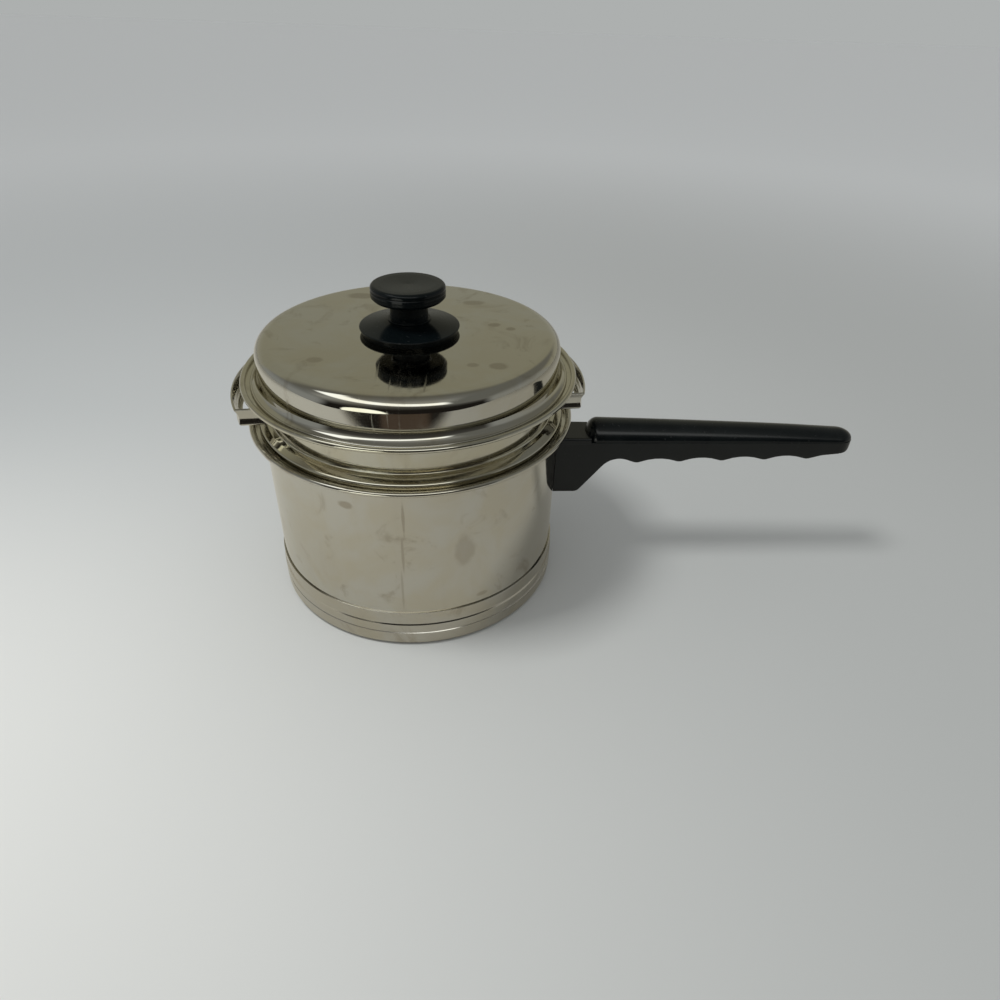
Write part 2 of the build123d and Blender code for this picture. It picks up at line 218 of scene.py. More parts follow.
def new_object(name, bm, sharp_degrees=32.0):
    """Object from a bmesh in millimetres, smooth apart from its sharp edges."""
    bmesh.ops.remove_doubles(bm, verts=bm.verts, dist=1e-4)
    bmesh.ops.recalc_face_normals(bm, faces=bm.faces)
    bmesh.ops.scale(bm, vec=(mm, mm, mm), verts=bm.verts)
    mesh = bpy.data.meshes.new(name)
    bm.to_mesh(mesh)
    bm.free()
    mesh.shade_smooth()
    mesh.set_sharp_from_angle(angle=radians(sharp_degrees))
    obj = bpy.data.objects.new(name, mesh)
    bpy.context.scene.collection.objects.link(obj)
    return obj


def supported(points, long_run=2.0, inset=0.2):
    """Closed line with extra points near the ends of its long runs, so that these shade flat."""
    result = []
    for i, point in enumerate(points):
        here, ahead = Vector(point), Vector(points[(i + 1) % len(points)])
        result.append(here)
        if (ahead - here).length > long_run:
            step = (ahead - here).normalized() * inset
            result += [here + step, ahead - step]
    return result


def lathe(name, points, turns, place=(0, 0), sharp_degrees=32.0):
    """Solid of revolution about an upright axis from a closed line in radius and height."""
    bm = bmesh.new()
    rings = []
    for radius, height in supported(points):
        if radius < 1e-6:
            rings.append([bm.verts.new((place[0], place[1], height))] * turns)
            continue
        angles = [2 * pi * k / turns for k in range(turns)]
        rings.append([bm.verts.new((place[0] + radius * cos(a), place[1] + radius * sin(a), height))
                      for a in angles])
    for i, ring in enumerate(rings):
        after = rings[(i + 1) % len(rings)]
        for k in range(turns):
            m = (k + 1) % turns
            corners = []
            for vert in (ring[k], ring[m], after[m], after[k]):
                if vert not in corners:
                    corners.append(vert)
            if len(corners) > 2:
                bm.faces.new(corners)
    return new_object(name, bm, sharp_degrees)


def tube(name, loops, sharp_degrees=32.0):
    """Skin over closed loops of equal length, with a flat cap at each end."""
    bm = bmesh.new()
    rings = [[bm.verts.new(p) for p in loop] for loop in loops]
    for ring, after in zip(rings, rings[1:]):
        for k in range(len(ring)):
            m = (k + 1) % len(ring)
            bm.faces.new((ring[k], ring[m], after[m], after[k]))
    bm.faces.new(rings[0])
    bm.faces.new(rings[-1])
    return new_object(name, bm, sharp_degrees)


def carve(obj, cutter):
    """Takes the cutter's space out of the object."""
    cut = obj.modifiers.new("cut", "BOOLEAN")
    cut.operation = "DIFFERENCE"
    cut.object = cutter
    cut.solver = "EXACT"
    depsgraph = bpy.context.evaluated_depsgraph_get()
    mesh = bpy.data.meshes.new_from_object(obj.evaluated_get(depsgraph))
    obj.modifiers.clear()
    obj.data = mesh
    bpy.data.objects.remove(cutter)
    return obj


def pan_points():
    """Section of the lower pan: floor, wall, ledge and rolled rim."""
    inner = body_radius - pan_sheet
    path = [(0, pan_floor_height, 0), (inner, pan_floor_height, 9.0), (inner, ledge_height, 1.2),
            (pan_bead_inner, ledge_height, 0.5)]
    far = other_face(path + [(pan_bead_inner, pan_bead_centre, 0)], pan_sheet)
    bead = arc(pan_bead_inner + pan_bead_radius, pan_bead_centre, pan_bead_radius, 180, -108)
    return rounded(path + bead + far[:-1][::-1])


def cap_points():
    """Section of the base cap: seam edge, shoulder, fine groove and rounded foot."""
    groove = [(cap_lower_radius, cap_groove_height + cap_groove_half_width, 0.1),
              (cap_lower_radius - cap_groove_depth, cap_groove_height, 0.1),
              (cap_lower_radius, cap_groove_height - cap_groove_half_width, 0.1)]
    upper = [(cap_upper_radius, cap_height, 0.3),
             (cap_upper_radius, cap_shoulder_height, 0.7),
             (cap_lower_radius, cap_shoulder_height - cap_shoulder_fall, 0.7)]
    lower = [(cap_lower_radius, 0, cap_foot_rounding), (0, 0, 0)]
    far = other_face(upper + lower, cap_sheet)
    return rounded(upper + groove + lower + far[::-1])


def insert_points():
    """Section of the upper pot, from its floor to the rolled rim."""
    path = [
        (0, pot_floor, 0),
        (pot_radius, pot_floor, 10.0),
        (pot_radius, ledge_height - swage_foot[1], 1.0),
        (pot_radius + swage_foot[0], ledge_height, 1.0),
        (pot_radius + swage_reach, ledge_height, 0.6),
        (pot_radius + swage_brow[0], ledge_height + swage_brow[1], 1.6),
        (pot_radius + swage_top[0], ledge_height + swage_top[1], 1.6),
        (pot_radius, ledge_height + swage_height, 0.8),
        (pot_radius, pot_ledge - pot_sheet, 3.1),
        (pot_bead_inner, pot_ledge - pot_sheet, 0),
    ]
    far = other_face(path + [(pot_bead_inner + pot_bead_out, pot_ledge - pot_sheet, 0)], -pot_sheet)[:-2]
    inner_foot = (pot_bead_inner, pot_ledge, 0.4)
    bead = arc(pot_bead_inner + pot_bead_radius, pot_bead_centre, pot_bead_radius, 180, -150)
    return rounded(path[:-1] + bead[::-1] + [inner_foot] + far[::-1])


def lid_points():
    """Section of the lid: flat top, shoulder, wall, and flange with its curled edge."""
    path = [
        (lid_hole, lid_top, 0),
        (lid_radius, lid_top, lid_shoulder_rounding),
        (lid_radius, pot_ledge + lid_crease_height, 0.12),
        (lid_radius + lid_cove[0], pot_ledge + lid_cove[1], 4.0),
        (lid_radius + lid_flange[0], pot_ledge + lid_flange[1], 0),
    ]
    far = other_face(path, lid_sheet)
    curl = arc(lid_curl_centre, pot_ledge + lid_curl_height, lid_curl_radius, 140, -190, 20.0)
    curl = [(across, max(up, pot_ledge), 0) for across, up, _ in curl]
    return rounded(path[:-1] + curl + far[:-1][::-1])


def skirt_points():
    """Section of the knob's skirt, whose ridged side leans out to its widest line."""
    boss = 7.0
    ridges = []
    for k in range(3):
        for up, inset in ((0.35, 0.0), (0.47, 0.34), (0.65, 0.34), (0.77, 0.0)):
            up += skirt_ridge_step * k
            lean = (skirt_radius - skirt_foot) * up / skirt_edge
            ridges.append((skirt_foot + lean - inset, lid_top + up, 0.05))
    under = [(lid_hole, lid_top, 0), (boss, lid_top, 0), (boss, lid_top + skirt_recess, 0.4),
             (skirt_inner, lid_top + skirt_recess, 0.4), (skirt_inner, lid_top, 0.2),
             (skirt_foot, lid_top, 0.1)]
    cone = [(skirt_radius, lid_top + skirt_edge, 0.45), (skirt_top_radius, knob_seat, 0.5),
            (lid_hole, knob_seat, 0)]
    return rounded(under + ridges + cone)


def knob_points():
    """Section of the knob: neck with a collar at its foot, round grooved cap and dished top."""
    cap_low = knob_seat + 10.4
    cap_high = knob_seat + 18.6
    grooves = []
    bush_hole, bush_depth = 3.65, 9.0
    for k in (1, 0):
        height = cap_high - 3.0 - 2.6 * k
        grooves += [(knob_cap_radius, height - 0.5, 0.12), (knob_groove_floor, height - 0.1, 0.06),
                    (knob_groove_floor, height + 0.1, 0.06), (knob_cap_radius, height + 0.5, 0.12)]
    return rounded([
        (bush_hole, knob_seat, 0),
        (knob_collar_radius, knob_seat, 0.15),
        (knob_collar_radius, knob_seat + knob_collar_height, 0.25),
        (knob_neck_radius, knob_seat + knob_collar_height, 0.15),
        (knob_neck_radius, cap_low, 1.6),
        (knob_cap_radius, cap_low, 3.2)] + grooves + [
        (knob_cap_radius, cap_high, 1.9),
        (14.5, cap_high, 6.0),
        (0, cap_high - 0.5, 0),
        (0, knob_seat + bush_depth, 0),
        (bush_hole, knob_seat + bush_depth, 0),
    ])


def screw(name, radius, seat, top, place):
    """Pan-head screw pointing up, with a thread and a cross recess in its head."""
    points = [(0, seat - 2.3, 0), (2.4, seat - 2.3, 0.9), (3.8, seat - 1.2, 0.7), (3.8, seat, 0.1),
              (radius, seat, 0)]
    height = seat + 0.8
    while height + 0.8 < top:
        points += [(radius, height, 0), (radius - 0.3, height + 0.35, 0), (radius, height + 0.7, 0)]
        height += 0.7
    points += [(radius, top, 0.3), (0, top, 0)]
    obj = lathe(name, rounded(points), 48, place)
    for turn in (0, 90):
        bm = bmesh.new()
        bmesh.ops.create_cube(bm, size=1)
        bmesh.ops.scale(bm, vec=(4.0, 0.85, 2.6), verts=bm.verts)
        bmesh.ops.rotate(bm, matrix=Matrix.Rotation(radians(turn), 3, "Z"), verts=bm.verts)
        bmesh.ops.translate(bm, vec=(place[0], place[1], seat - 2.3), verts=bm.verts)
        obj = carve(obj, new_object("cutter", bm))
    return obj


def underside():
    """Side outline of the handle's underside, from its root to its tip."""
    half_pitch = ridge_pitch / 2
    swing = 2 * atan(finger_depth / half_pitch)
    arcs_total = half_pitch / sin(swing)
    hollow_rounding = (arcs_total - ridge_rounding) * finger_full_share
    lift = 1 / cos(swing) - 1
    ridge_drop = ridge_rounding * lift
    groove_drop = arcs_total * lift - ridge_drop
    slope = tan(radians(neck_slope_degrees))
    fall = tan(swing)
    corner = ridge_height - ridge_drop
    meet = (corner + fall * ridge_first + slope * neck_heel - neck_bottom) / (slope + fall)
    corners = [(0, neck_bottom, 0), (neck_heel, neck_bottom, neck_heel_rounding),
               (meet, neck_bottom + slope * (meet - neck_heel), first_groove_rounding)]
    for i in range(ridge_count):
        place = ridge_first + ridge_pitch * i
        corners.append((place, corner + ridge_rise * i, ridge_rounding))
        if i < ridge_count - 1:
            hollow = corner + ridge_drop + finger_depth + groove_drop
            corners.append((place + half_pitch, hollow + ridge_rise * (i + 0.5), hollow_rounding))
    end = grip_tip + tip_overhang
    corners += [grip_tail, (end, tip_height, tip_rounding), (end, grip_edge, 0)]
    return rounded(corners, closed=False)


def level(points, across):
    """Height of a line at one place."""
    for first, last in zip(points, points[1:]):
        if first[0] <= across <= last[0] and last[0] > first[0]:
            share = (across - first[0]) / (last[0] - first[0])
            return first[1] + (last[1] - first[1]) * share
    return points[-1][1]


def smooth_through(stations, heights, across):
    """Height on a smooth curve through a few stations."""
    i = 0
    while i + 2 < len(stations) and across > stations[i + 1]:
        i += 1
    def lean(k):
        low, high = max(k - 1, 0), min(k + 1, len(stations) - 1)
        return (heights[high] - heights[low]) / (stations[high] - stations[low])
    width = stations[i + 1] - stations[i]
    t = (across - stations[i]) / width
    a, b = heights[i], heights[i + 1]
    return (a * (2 * t ** 3 - 3 * t ** 2 + 1) + b * (3 * t ** 2 - 2 * t ** 3)
            + width * lean(i) * (t ** 3 - 2 * t ** 2 + t) + width * lean(i + 1) * (t ** 3 - t ** 2))


def grip_half(across):
    """Half width of the slab in plan, with its round tip."""
    share = (across - body_radius) / (grip_tip - body_radius)
    half = grip_root_half + (grip_tip_half - grip_root_half) * share
    middle = grip_tip - grip_tip_half
    if across > middle:
        half = min(half, sqrt(max(grip_tip_half ** 2 - (across - middle) ** 2, 0)))
    return half


def spine_at(across):
    """Half width and height of the spine at a distance from the pan's axis."""
    first, last = spine_places[0], spine_places[-1]
    if across < first:
        share = sqrt(max(1 - ((first - across) / spine_root_reach) ** 2, 0))
        return (grip_half(first) - spine_inset) * share, spine_heights[0] * share
    if across > last:
        share = sqrt(max(1 - ((across - last) / (grip_tip - last)) ** 2, 0))
        return (grip_half(last) - spine_inset) * share, spine_heights[-1] * share
    return grip_half(across) - spine_inset, smooth_through(spine_places, spine_heights, across)


def grip_loop(across, under, in_neck):
    """One cross-section of the handle, a closed loop of points."""
    half = max(grip_half(across), 0.02)
    soft = min(1.0, half * 0.9)
    low = min(level(under, across), grip_edge - soft - 0.4)
    wide, tall = spine_at(across)
    wide = min(wide, half * 0.96)
    right = []
    for k in range(7):
        right.append(((half - soft) * k / 6, low))
    for k in range(1, 9):
        angle = radians(-90 + 90 * k / 8)
        right.append((half - soft + soft * cos(angle), low + soft + soft * sin(angle)))
    top = neck_top if in_neck else grip_edge
    edge = min(1.2 if in_neck else 0.12, half * 0.3)
    side_low = low + soft
    seam = grip_edge - seam_drop
    for k in range(1, 5):
        right.append((half, side_low + (seam - side_low) * k / 4))
    line = 0.1 if in_neck else 0.0
    right.append((half - line, seam + seam_width / 2))
    right.append((half, seam + seam_width))
    right.append((half, top - edge))
    for k in range(1, 7):
        angle = radians(90 * k / 6)
        right.append((half - edge + edge * cos(angle), top - edge + edge * sin(angle)))
    steps = 24
    for k in range(steps + 1):
        angle = radians(90 * k / steps)
        y = wide * cos(angle)
        z = grip_edge + tall * sin(angle)
        if in_neck:
            y = (half - edge) * (1 - k / steps) if tall == 0 else y
            z = max(z, neck_top)
        right.append((y, z))
    left = [(-y, z) for y, z in reversed(right[1:-1])]
    return [(across, y, z) for y, z in right + left]


def block(low, high):
    """Straight block between two corners, for use as a cutter."""
    bm = bmesh.new()
    bmesh.ops.create_cube(bm, size=1)
    middle = (Vector(low) + Vector(high)) / 2
    bmesh.ops.scale(bm, vec=Vector(high) - Vector(low), verts=bm.verts)
    bmesh.ops.translate(bm, vec=middle, verts=bm.verts)
    return new_object("cutter", bm)


def handle():
    """Whole moulded handle: neck, slab with finger grooves, and rounded spine."""
    under = underside()
    places = [80 + 0.75 * k for k in range(29)]
    neck_places = [p for p in places if p < neck_step - 0.3] + [neck_step - 0.15, neck_step]
    middle = grip_tip - grip_tip_half
    body_places = [neck_step, neck_step + 0.2] + [102.5 + 0.5 * k for k in range(14)]
    place = 110.0
    while place < middle:
        body_places.append(place)
        place += 1.0
    body_places += [middle + grip_tip_half * sin(radians(3.0 * k)) for k in range(31)]
    loops = [grip_loop(p, under, True) for p in neck_places]
    loops += [grip_loop(p, under, False) for p in body_places]
    obj = tube("handle", loops, 35.0)
    wall = lathe("cutter", [(0, 40), (grip_gap, 40), (grip_gap, 100), (0, 100)], lathe_turns)
    obj = carve(obj, wall)
    obj = carve(obj, block(*bracket_pocket))
    well = [(0, 45), (5.0, 45), (5.0, 58.7), (2.4, 58.7), (2.4, 64), (0, 64)]
    return carve(obj, lathe("cutter", well, 48, screw_place))


def ear_section():
    """Closed outline of the ear's strip as depth behind its outer edge, and height."""
    low = ear_top - ear_height
    path = [(0, ear_top, 0.25), (-2.8, ear_top - 5.0, 8.0), (-0.8, low, 1.6), (-4.6, low, 0.25)]
    far = other_face(path, ear_sheet)
    far[0], far[-1] = far[0][:2] + (0.25,), far[-1][:2] + (0.25,)
    return [(-across, up) for across, up in rounded(path + far[::-1])]


def ear(name, turn):
    """Strip ear: curved front, two straight legs and a tab on the pot's wall at each."""
    section = ear_section()
    spin = Matrix.Rotation(radians(turn), 3, "Z")
    wall = pot_radius + 0.01
    legs, front = [], []
    for k in range(9):
        loop = []
        for into, up in section:
            y = ear_half_span - into
            start, corner = sqrt(wall ** 2 - y ** 2), sqrt((ear_reach - into) ** 2 - y ** 2)
            loop.append((start + (corner - start) * k / 8, y, up))
        legs.append(loop)
    for k in range(1, 48):
        loop = []
        for into, up in section:
            radius = ear_reach - into
            angle = asin((ear_half_span - into) / radius) * (1 - k / 24)
            loop.append((radius * cos(angle), radius * sin(angle), up))
        front.append(loop)
    back = [[(x, -y, up) for x, y, up in loop] for loop in reversed(legs)]
    loops = [[spin @ Vector(p) for p in loop] for loop in legs + front + back]
    obj = tube(name, loops, 30.0)
    low = ear_top - ear_height
    for side in (1, -1):
        rows = []
        for k in range(13):
            up = low + 0.2 + (ear_height - 0.4) * k / 12
            bow = 1 - ((up - low - ear_height / 2) / (ear_height / 2)) ** 2
            end = ear_half_span - 0.9 - 2.3 * bow
            row = []
            for face, steps in ((wall, range(9)), (wall + ear_sheet, range(8, -1, -1))):
                for m in steps:
                    y = ear_tab_start + (end - ear_tab_start) * m / 8
                    row.append(spin @ Vector((sqrt(face ** 2 - y ** 2), side * y, up)))
            rows.append(row)
        tab = tube("tab", rows, 30.0)
        join(obj, tab)
    return obj


def join(obj, other):
    """Adds the other object's mesh to the first one."""
    bm = bmesh.new()
    bm.from_mesh(obj.data)
    bm.from_mesh(other.data)
    bm.to_mesh(obj.data)
    bm.free()
    bpy.data.objects.remove(other)


class Shade:
    """Small helper that adds shader nodes to one tree."""

    def __init__(self, tree):
        self.tree = tree
        tree.nodes.clear()

    def add(self, kind, inputs=None, **settings):
        made = self.tree.nodes.new(kind)
        for key, value in settings.items():
            setattr(made, key, value)
        for key, value in (inputs or {}).items():
            self.put(made.inputs[key], value)
        return made

    def put(self, socket, value):
        if isinstance(value, bpy.types.NodeSocket):
            self.tree.links.new(value, socket)
        else:
            socket.default_value = value

    def maths(self, operation, first, second=0.0, third=0.0, clamp=False):
        made = self.add("ShaderNodeMath", {0: first, 1: second, 2: third}, operation=operation,
                        use_clamp=clamp)
        return made.outputs[0]

    def vector(self, operation, first, second=(0, 0, 0)):
        made = self.add("ShaderNodeVectorMath", {0: first, 1: second}, operation=operation)
        return made

    def ramp(self, value, low, high, bottom=0.0, top=1.0):
        made = self.add("ShaderNodeMapRange", {0: value, 1: low, 2: high, 3: bottom, 4: top},
                        interpolation_type="SMOOTHSTEP")
        return made.outputs[0]

    def blend(self, share, first, second, mode="MIX"):
        made = self.add("ShaderNodeMix", {0: share, 6: first, 7: second}, data_type="RGBA", blend_type=mode)
        return made.outputs[2]

    def noise(self, vector, scale, detail=3.0, rough=0.5, warp=0.0):
        made = self.add("ShaderNodeTexNoise", {"Vector": vector, "Scale": scale, "Detail": detail,
                                               "Roughness": rough, "Distortion": warp})
        return made.outputs[0]


def material(name):
    made = bpy.data.materials.new(name)
    made.use_nodes = True
    shade = Shade(made.node_tree)
    return made, shade


def finish_material(shade, base, rough, metallic, bump=None, strength=0.1, distance=0.0002, **extra):
    """Puts the principled shader at the end of the tree."""
    inputs = {"Base Color": base, "Roughness": rough, "Metallic": metallic}
    inputs.update(extra)
    surface = shade.add("ShaderNodeBsdfPrincipled", inputs)
    if bump is not None:
        normal = shade.add("ShaderNodeBump", {"Strength": strength, "Distance": distance, "Height": bump})
        shade.put(surface.inputs["Normal"], normal.outputs[0])
    out = shade.add("ShaderNodeOutputMaterial")
    shade.tree.links.new(surface.outputs[0], out.inputs[0])


def spots_mask(shade, point, spots, wobble):
    """Union of soft blotches, each given by centre, reach along X, Y and Z, and weight."""
    total = 0.0
    for centre, reach, weight in spots:
        away = shade.vector("SUBTRACT", point, centre).outputs[0]
        scaled = shade.vector("DIVIDE", away, reach).outputs[0]
        far = shade.vector("LENGTH", scaled).outputs[1]
        ragged = shade.maths("ADD", far, shade.maths("MULTIPLY", shade.maths("SUBTRACT", wobble, 0.5), 0.9))
        mask = shade.maths("MULTIPLY", shade.ramp(ragged, 0.55, 1.05, 1.0, 0.0), weight)
        total = shade.maths("MAXIMUM", total, mask)
    return total


def steel(name, seed, rough=0.09, spots=(), tint=(0.56, 0.548, 0.50, 1), stain=(0.34, 0.30, 0.235, 1),
          haze=0.06, blotches=0.5, relief=0.035):
    """Polished stainless steel that has been used: tarnish, water marks, blotches and fine scratches."""
    made, shade = material(name)
    point = shade.add("ShaderNodeTexCoord").outputs["Object"]
    moved = shade.vector("ADD", point, (seed, seed * 0.7, -seed * 0.4)).outputs[0]
    cloud = shade.noise(moved, 22.0, 4.0, 0.6, 0.6)
    fine = shade.noise(moved, 160.0, 4.0, 0.65)
    wobble = shade.noise(moved, 110.0, 3.0, 0.6)
    warm = (tint[0] * 0.97, tint[1] * 0.94, tint[2] * 0.87, 1)
    base = shade.blend(shade.ramp(cloud, 0.38, 0.62), tint, warm)
    patch = shade.noise(moved, 34.0, 5.0, 0.62, 1.4)
    mask = shade.maths("MULTIPLY", shade.ramp(patch, 0.55, 0.72), blotches)
    if spots:
        mask = shade.maths("MAXIMUM", mask, spots_mask(shade, point, spots, wobble))
    base = shade.blend(mask, base, stain)
    split = shade.add("ShaderNodeSeparateXYZ", {0: point})
    turn = shade.maths("ARCTAN2", split.outputs[1], split.outputs[0])
    squares = [shade.maths("MULTIPLY", split.outputs[k], split.outputs[k]) for k in (0, 1)]
    radius = shade.maths("SQRT", shade.maths("ADD", squares[0], squares[1]))
    around = shade.add("ShaderNodeCombineXYZ", {0: radius, 1: shade.maths("MULTIPLY", turn, 0.006),
                                                2: split.outputs[2]}).outputs[0]
    lines = shade.noise(around, 1500.0, 2.0, 0.6)
    streak = shade.add("ShaderNodeCombineXYZ", {0: shade.maths("MULTIPLY", turn, 0.08),
                                                1: shade.maths("MULTIPLY", split.outputs[2], 0.12),
                                                2: seed}).outputs[0]
    drip = shade.ramp(shade.noise(streak, 90.0, 3.0, 0.55), 0.58, 0.72)
    scratch_lines = 0.0
    for angle, scale in ((0.5, 420.0), (-0.9, 360.0)):
        mapped = shade.add("ShaderNodeMapping", {"Vector": moved,
                                                 "Rotation": (angle, angle * 0.6, angle * 1.7),
                                                 "Scale": (1.0, 0.03, 0.05)}).outputs[0]
        line = shade.ramp(shade.noise(mapped, scale, 2.0, 0.5), 0.69, 0.73)
        scratch_lines = shade.maths("MAXIMUM", scratch_lines, line)
    wear = shade.maths("MULTIPLY", scratch_lines, 0.10)
    level_of = shade.maths("ADD", shade.maths("MULTIPLY", shade.ramp(cloud, 0.4, 0.7), haze), rough)
    level_of = shade.maths("ADD", level_of, shade.maths("MULTIPLY", mask, 0.14))
    level_of = shade.maths("ADD", level_of, shade.maths("MULTIPLY", drip, 0.05))
    level_of = shade.maths("ADD", level_of, wear)
    height = shade.maths("ADD", shade.maths("MULTIPLY", lines, 0.35), shade.maths("MULTIPLY", fine, 0.25))
    height = shade.maths("SUBTRACT", height, scratch_lines)
    base = shade.blend(shade.maths("MULTIPLY", drip, 0.12), base, (0.45, 0.42, 0.37, 1))
    finish_material(shade, base, level_of, 1.0, height, relief, 0.00008)
    return made


def moulding(name, seed, matte_low, shine):
    """Black phenolic: glossy where the mould was polished, duller and lightly scuffed elsewhere."""
    made, shade = material(name)
    point = shade.add("ShaderNodeTexCoord").outputs["Object"]
    moved = shade.vector("ADD", point, (seed, seed, seed)).outputs[0]
    split = shade.add("ShaderNodeSeparateXYZ", {0: point})
    cloud = shade.noise(moved, 45.0, 4.0, 0.6, 0.4)
    grain = shade.noise(moved, 900.0, 3.0, 0.6)
    dust = shade.ramp(shade.noise(moved, 520.0, 2.0, 0.5), 0.66, 0.76)
    base = shade.blend(shade.ramp(cloud, 0.35, 0.7), (0.0022, 0.0036, 0.0042, 1),
                       (0.0042, 0.0060, 0.0066, 1))
    base = shade.blend(shade.maths("MULTIPLY", dust, 0.35), base, (0.03, 0.032, 0.032, 1))
    level_of = shade.maths("ADD", shade.maths("MULTIPLY", cloud, 0.14), 0.13)
    if matte_low:
        dull = shade.ramp(split.outputs[2], 0.0875, 0.0884, 0.17, 0.0)
        level_of = shade.maths("ADD", level_of, dull)
    level_of = shade.maths("ADD", level_of, shade.maths("MULTIPLY", dust, 0.15))
    finish_material(shade, base, level_of, 0.0, shade.maths("ADD", grain, cloud), 0.05, 0.0001, **shine)
    return made


def plain_metal(name, seed, tint, rough):
    """Unpolished metal of the hidden parts, with faint tool marks."""
    made, shade = material(name)
    point = shade.add("ShaderNodeTexCoord").outputs["Object"]
    moved = shade.vector("ADD", point, (seed, 0, seed)).outputs[0]
    cloud = shade.noise(moved, 60.0, 4.0, 0.6)
    grain = shade.noise(moved, 1200.0, 3.0, 0.6)
    dark = tuple(c * 0.72 for c in tint[:3]) + (1,)
    base = shade.blend(shade.ramp(cloud, 0.3, 0.7), tint, dark)
    level_of = shade.maths("ADD", shade.maths("MULTIPLY", cloud, 0.2), rough)
    finish_material(shade, base, level_of, 1.0, grain, 0.1, 0.0001)
    return made


def dress(obj, mat):
    obj.data.materials.clear()
    obj.data.materials.append(mat)
    return obj


# Marks of use: centre, reach along X, Y and Z in metres, and weight
lid_spots = (
    ((-0.032, 0.0516, 0.1504), (0.0085, 0.0055, 0.02), 0.75),
    ((0.034, 0.0429, 0.1504), (0.0070, 0.0050, 0.02), 0.70),
    ((0.0449, 0.0091, 0.1504), (0.0040, 0.0032, 0.02), 0.80),
    ((0.0539, 0.0038, 0.1504), (0.0032, 0.0026, 0.02), 0.75),
    ((0.0459, -0.0436, 0.1504), (0.0052, 0.0042, 0.02), 0.70),
    ((0.0334, -0.0428, 0.1504), (0.0036, 0.0030, 0.02), 0.60),
    ((-0.0432, -0.0394, 0.1504), (0.0050, 0.0036, 0.02), 0.60),
)
body_spots = (
    ((0.0298, -0.0769, 0.0623), (0.0062, 0.012, 0.0128), 0.42),
    ((-0.0286, -0.0774, 0.0917), (0.0042, 0.010, 0.0026), 0.70),
    ((0.0390, -0.0727, 0.0289), (0.0036, 0.010, 0.0018), 0.55),
    ((-0.0003, -0.0825, 0.0860), (0.0009, 0.010, 0.0125), 0.60),
    ((-0.0016, -0.0825, 0.0640), (0.0009, 0.010, 0.0130), 0.55),
    ((-0.0029, -0.0825, 0.0400), (0.0008, 0.010, 0.0140), 0.45),
)

pan_steel = steel("pan_steel", 0.31, 0.06, body_spots, blotches=0.65)
cap_steel = steel("cap_steel", 1.73, 0.11, (), (0.53, 0.515, 0.47, 1), haze=0.08)
insert_steel = steel("insert_steel", 2.19, 0.06, (), (0.56, 0.545, 0.47, 1))
lid_steel = steel("lid_steel", 3.37, 0.045, lid_spots, haze=0.03, relief=0.02)
ear_steel = steel("ear_steel", 4.41, 0.10, (), (0.52, 0.51, 0.465, 1))
handle_black = moulding("handle_black", 0.2, True, {"Specular IOR Level": 0.34})
knob_black = moulding("knob_black", 1.4, False,
                      {"Specular IOR Level": 0.02, "Coat Weight": 0.36, "Coat Roughness": 0.14})
zinc = plain_metal("zinc", 0.5, (0.52, 0.53, 0.55, 1), 0.28)
aluminium = plain_metal("aluminium", 0.9, (0.78, 0.78, 0.79, 1), 0.3)
brass = plain_metal("brass", 1.3, (0.68, 0.50, 0.22, 1), 0.25)

pieces = [
    (lathe("pan", pan_points(), lathe_turns), "pan", "pan_shell", "polished_steel", pan_steel),
    (lathe("base", cap_points(), lathe_turns), "pan", "base_cap", "polished_steel", cap_steel),
    (lathe("insert", insert_points(), lathe_turns), "upper_pot", "insert_shell", "polished_steel",
     insert_steel),
    (lathe("lid", lid_points(), lathe_turns), "lid", "lid_shell", "polished_steel", lid_steel),
    (lathe("knob_base", skirt_points(), small_turns), "lid", "knob_skirt", "black_moulding", knob_black),
    (lathe("knob", knob_points(), small_turns), "lid", "knob_grip", "black_moulding", knob_black),
    (handle(), "pan", "handle_grip", "black_moulding", handle_black),
    (ear("ear_on_right", ear_degrees), "upper_pot", "ear_right", "polished_steel", ear_steel),
    (ear("ear_on_left", ear_degrees + 180), "upper_pot", "ear_left", "polished_steel", ear_steel),
    (screw("neck_screw", 2.0, 57.9, 69.6, screw_place), "pan", "handle_screw", "plain_steel", zinc),
    (screw("lid_screw", 1.9, 148.8, 163.4, (0, 0)), "lid", "knob_screw", "plain_steel", zinc),
]
for obj, body, node, slot, mat in pieces:
    dress(obj, mat)
    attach(obj, body)
    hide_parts(node)

for node, mat in (("heat_core", aluminium), ("handle_bracket", zinc), ("bracket_nut", zinc),
                  ("handle_washer", zinc), ("knob_insert", brass), ("knob_washer", zinc)):
    dress(frame["nodes"][node], mat)


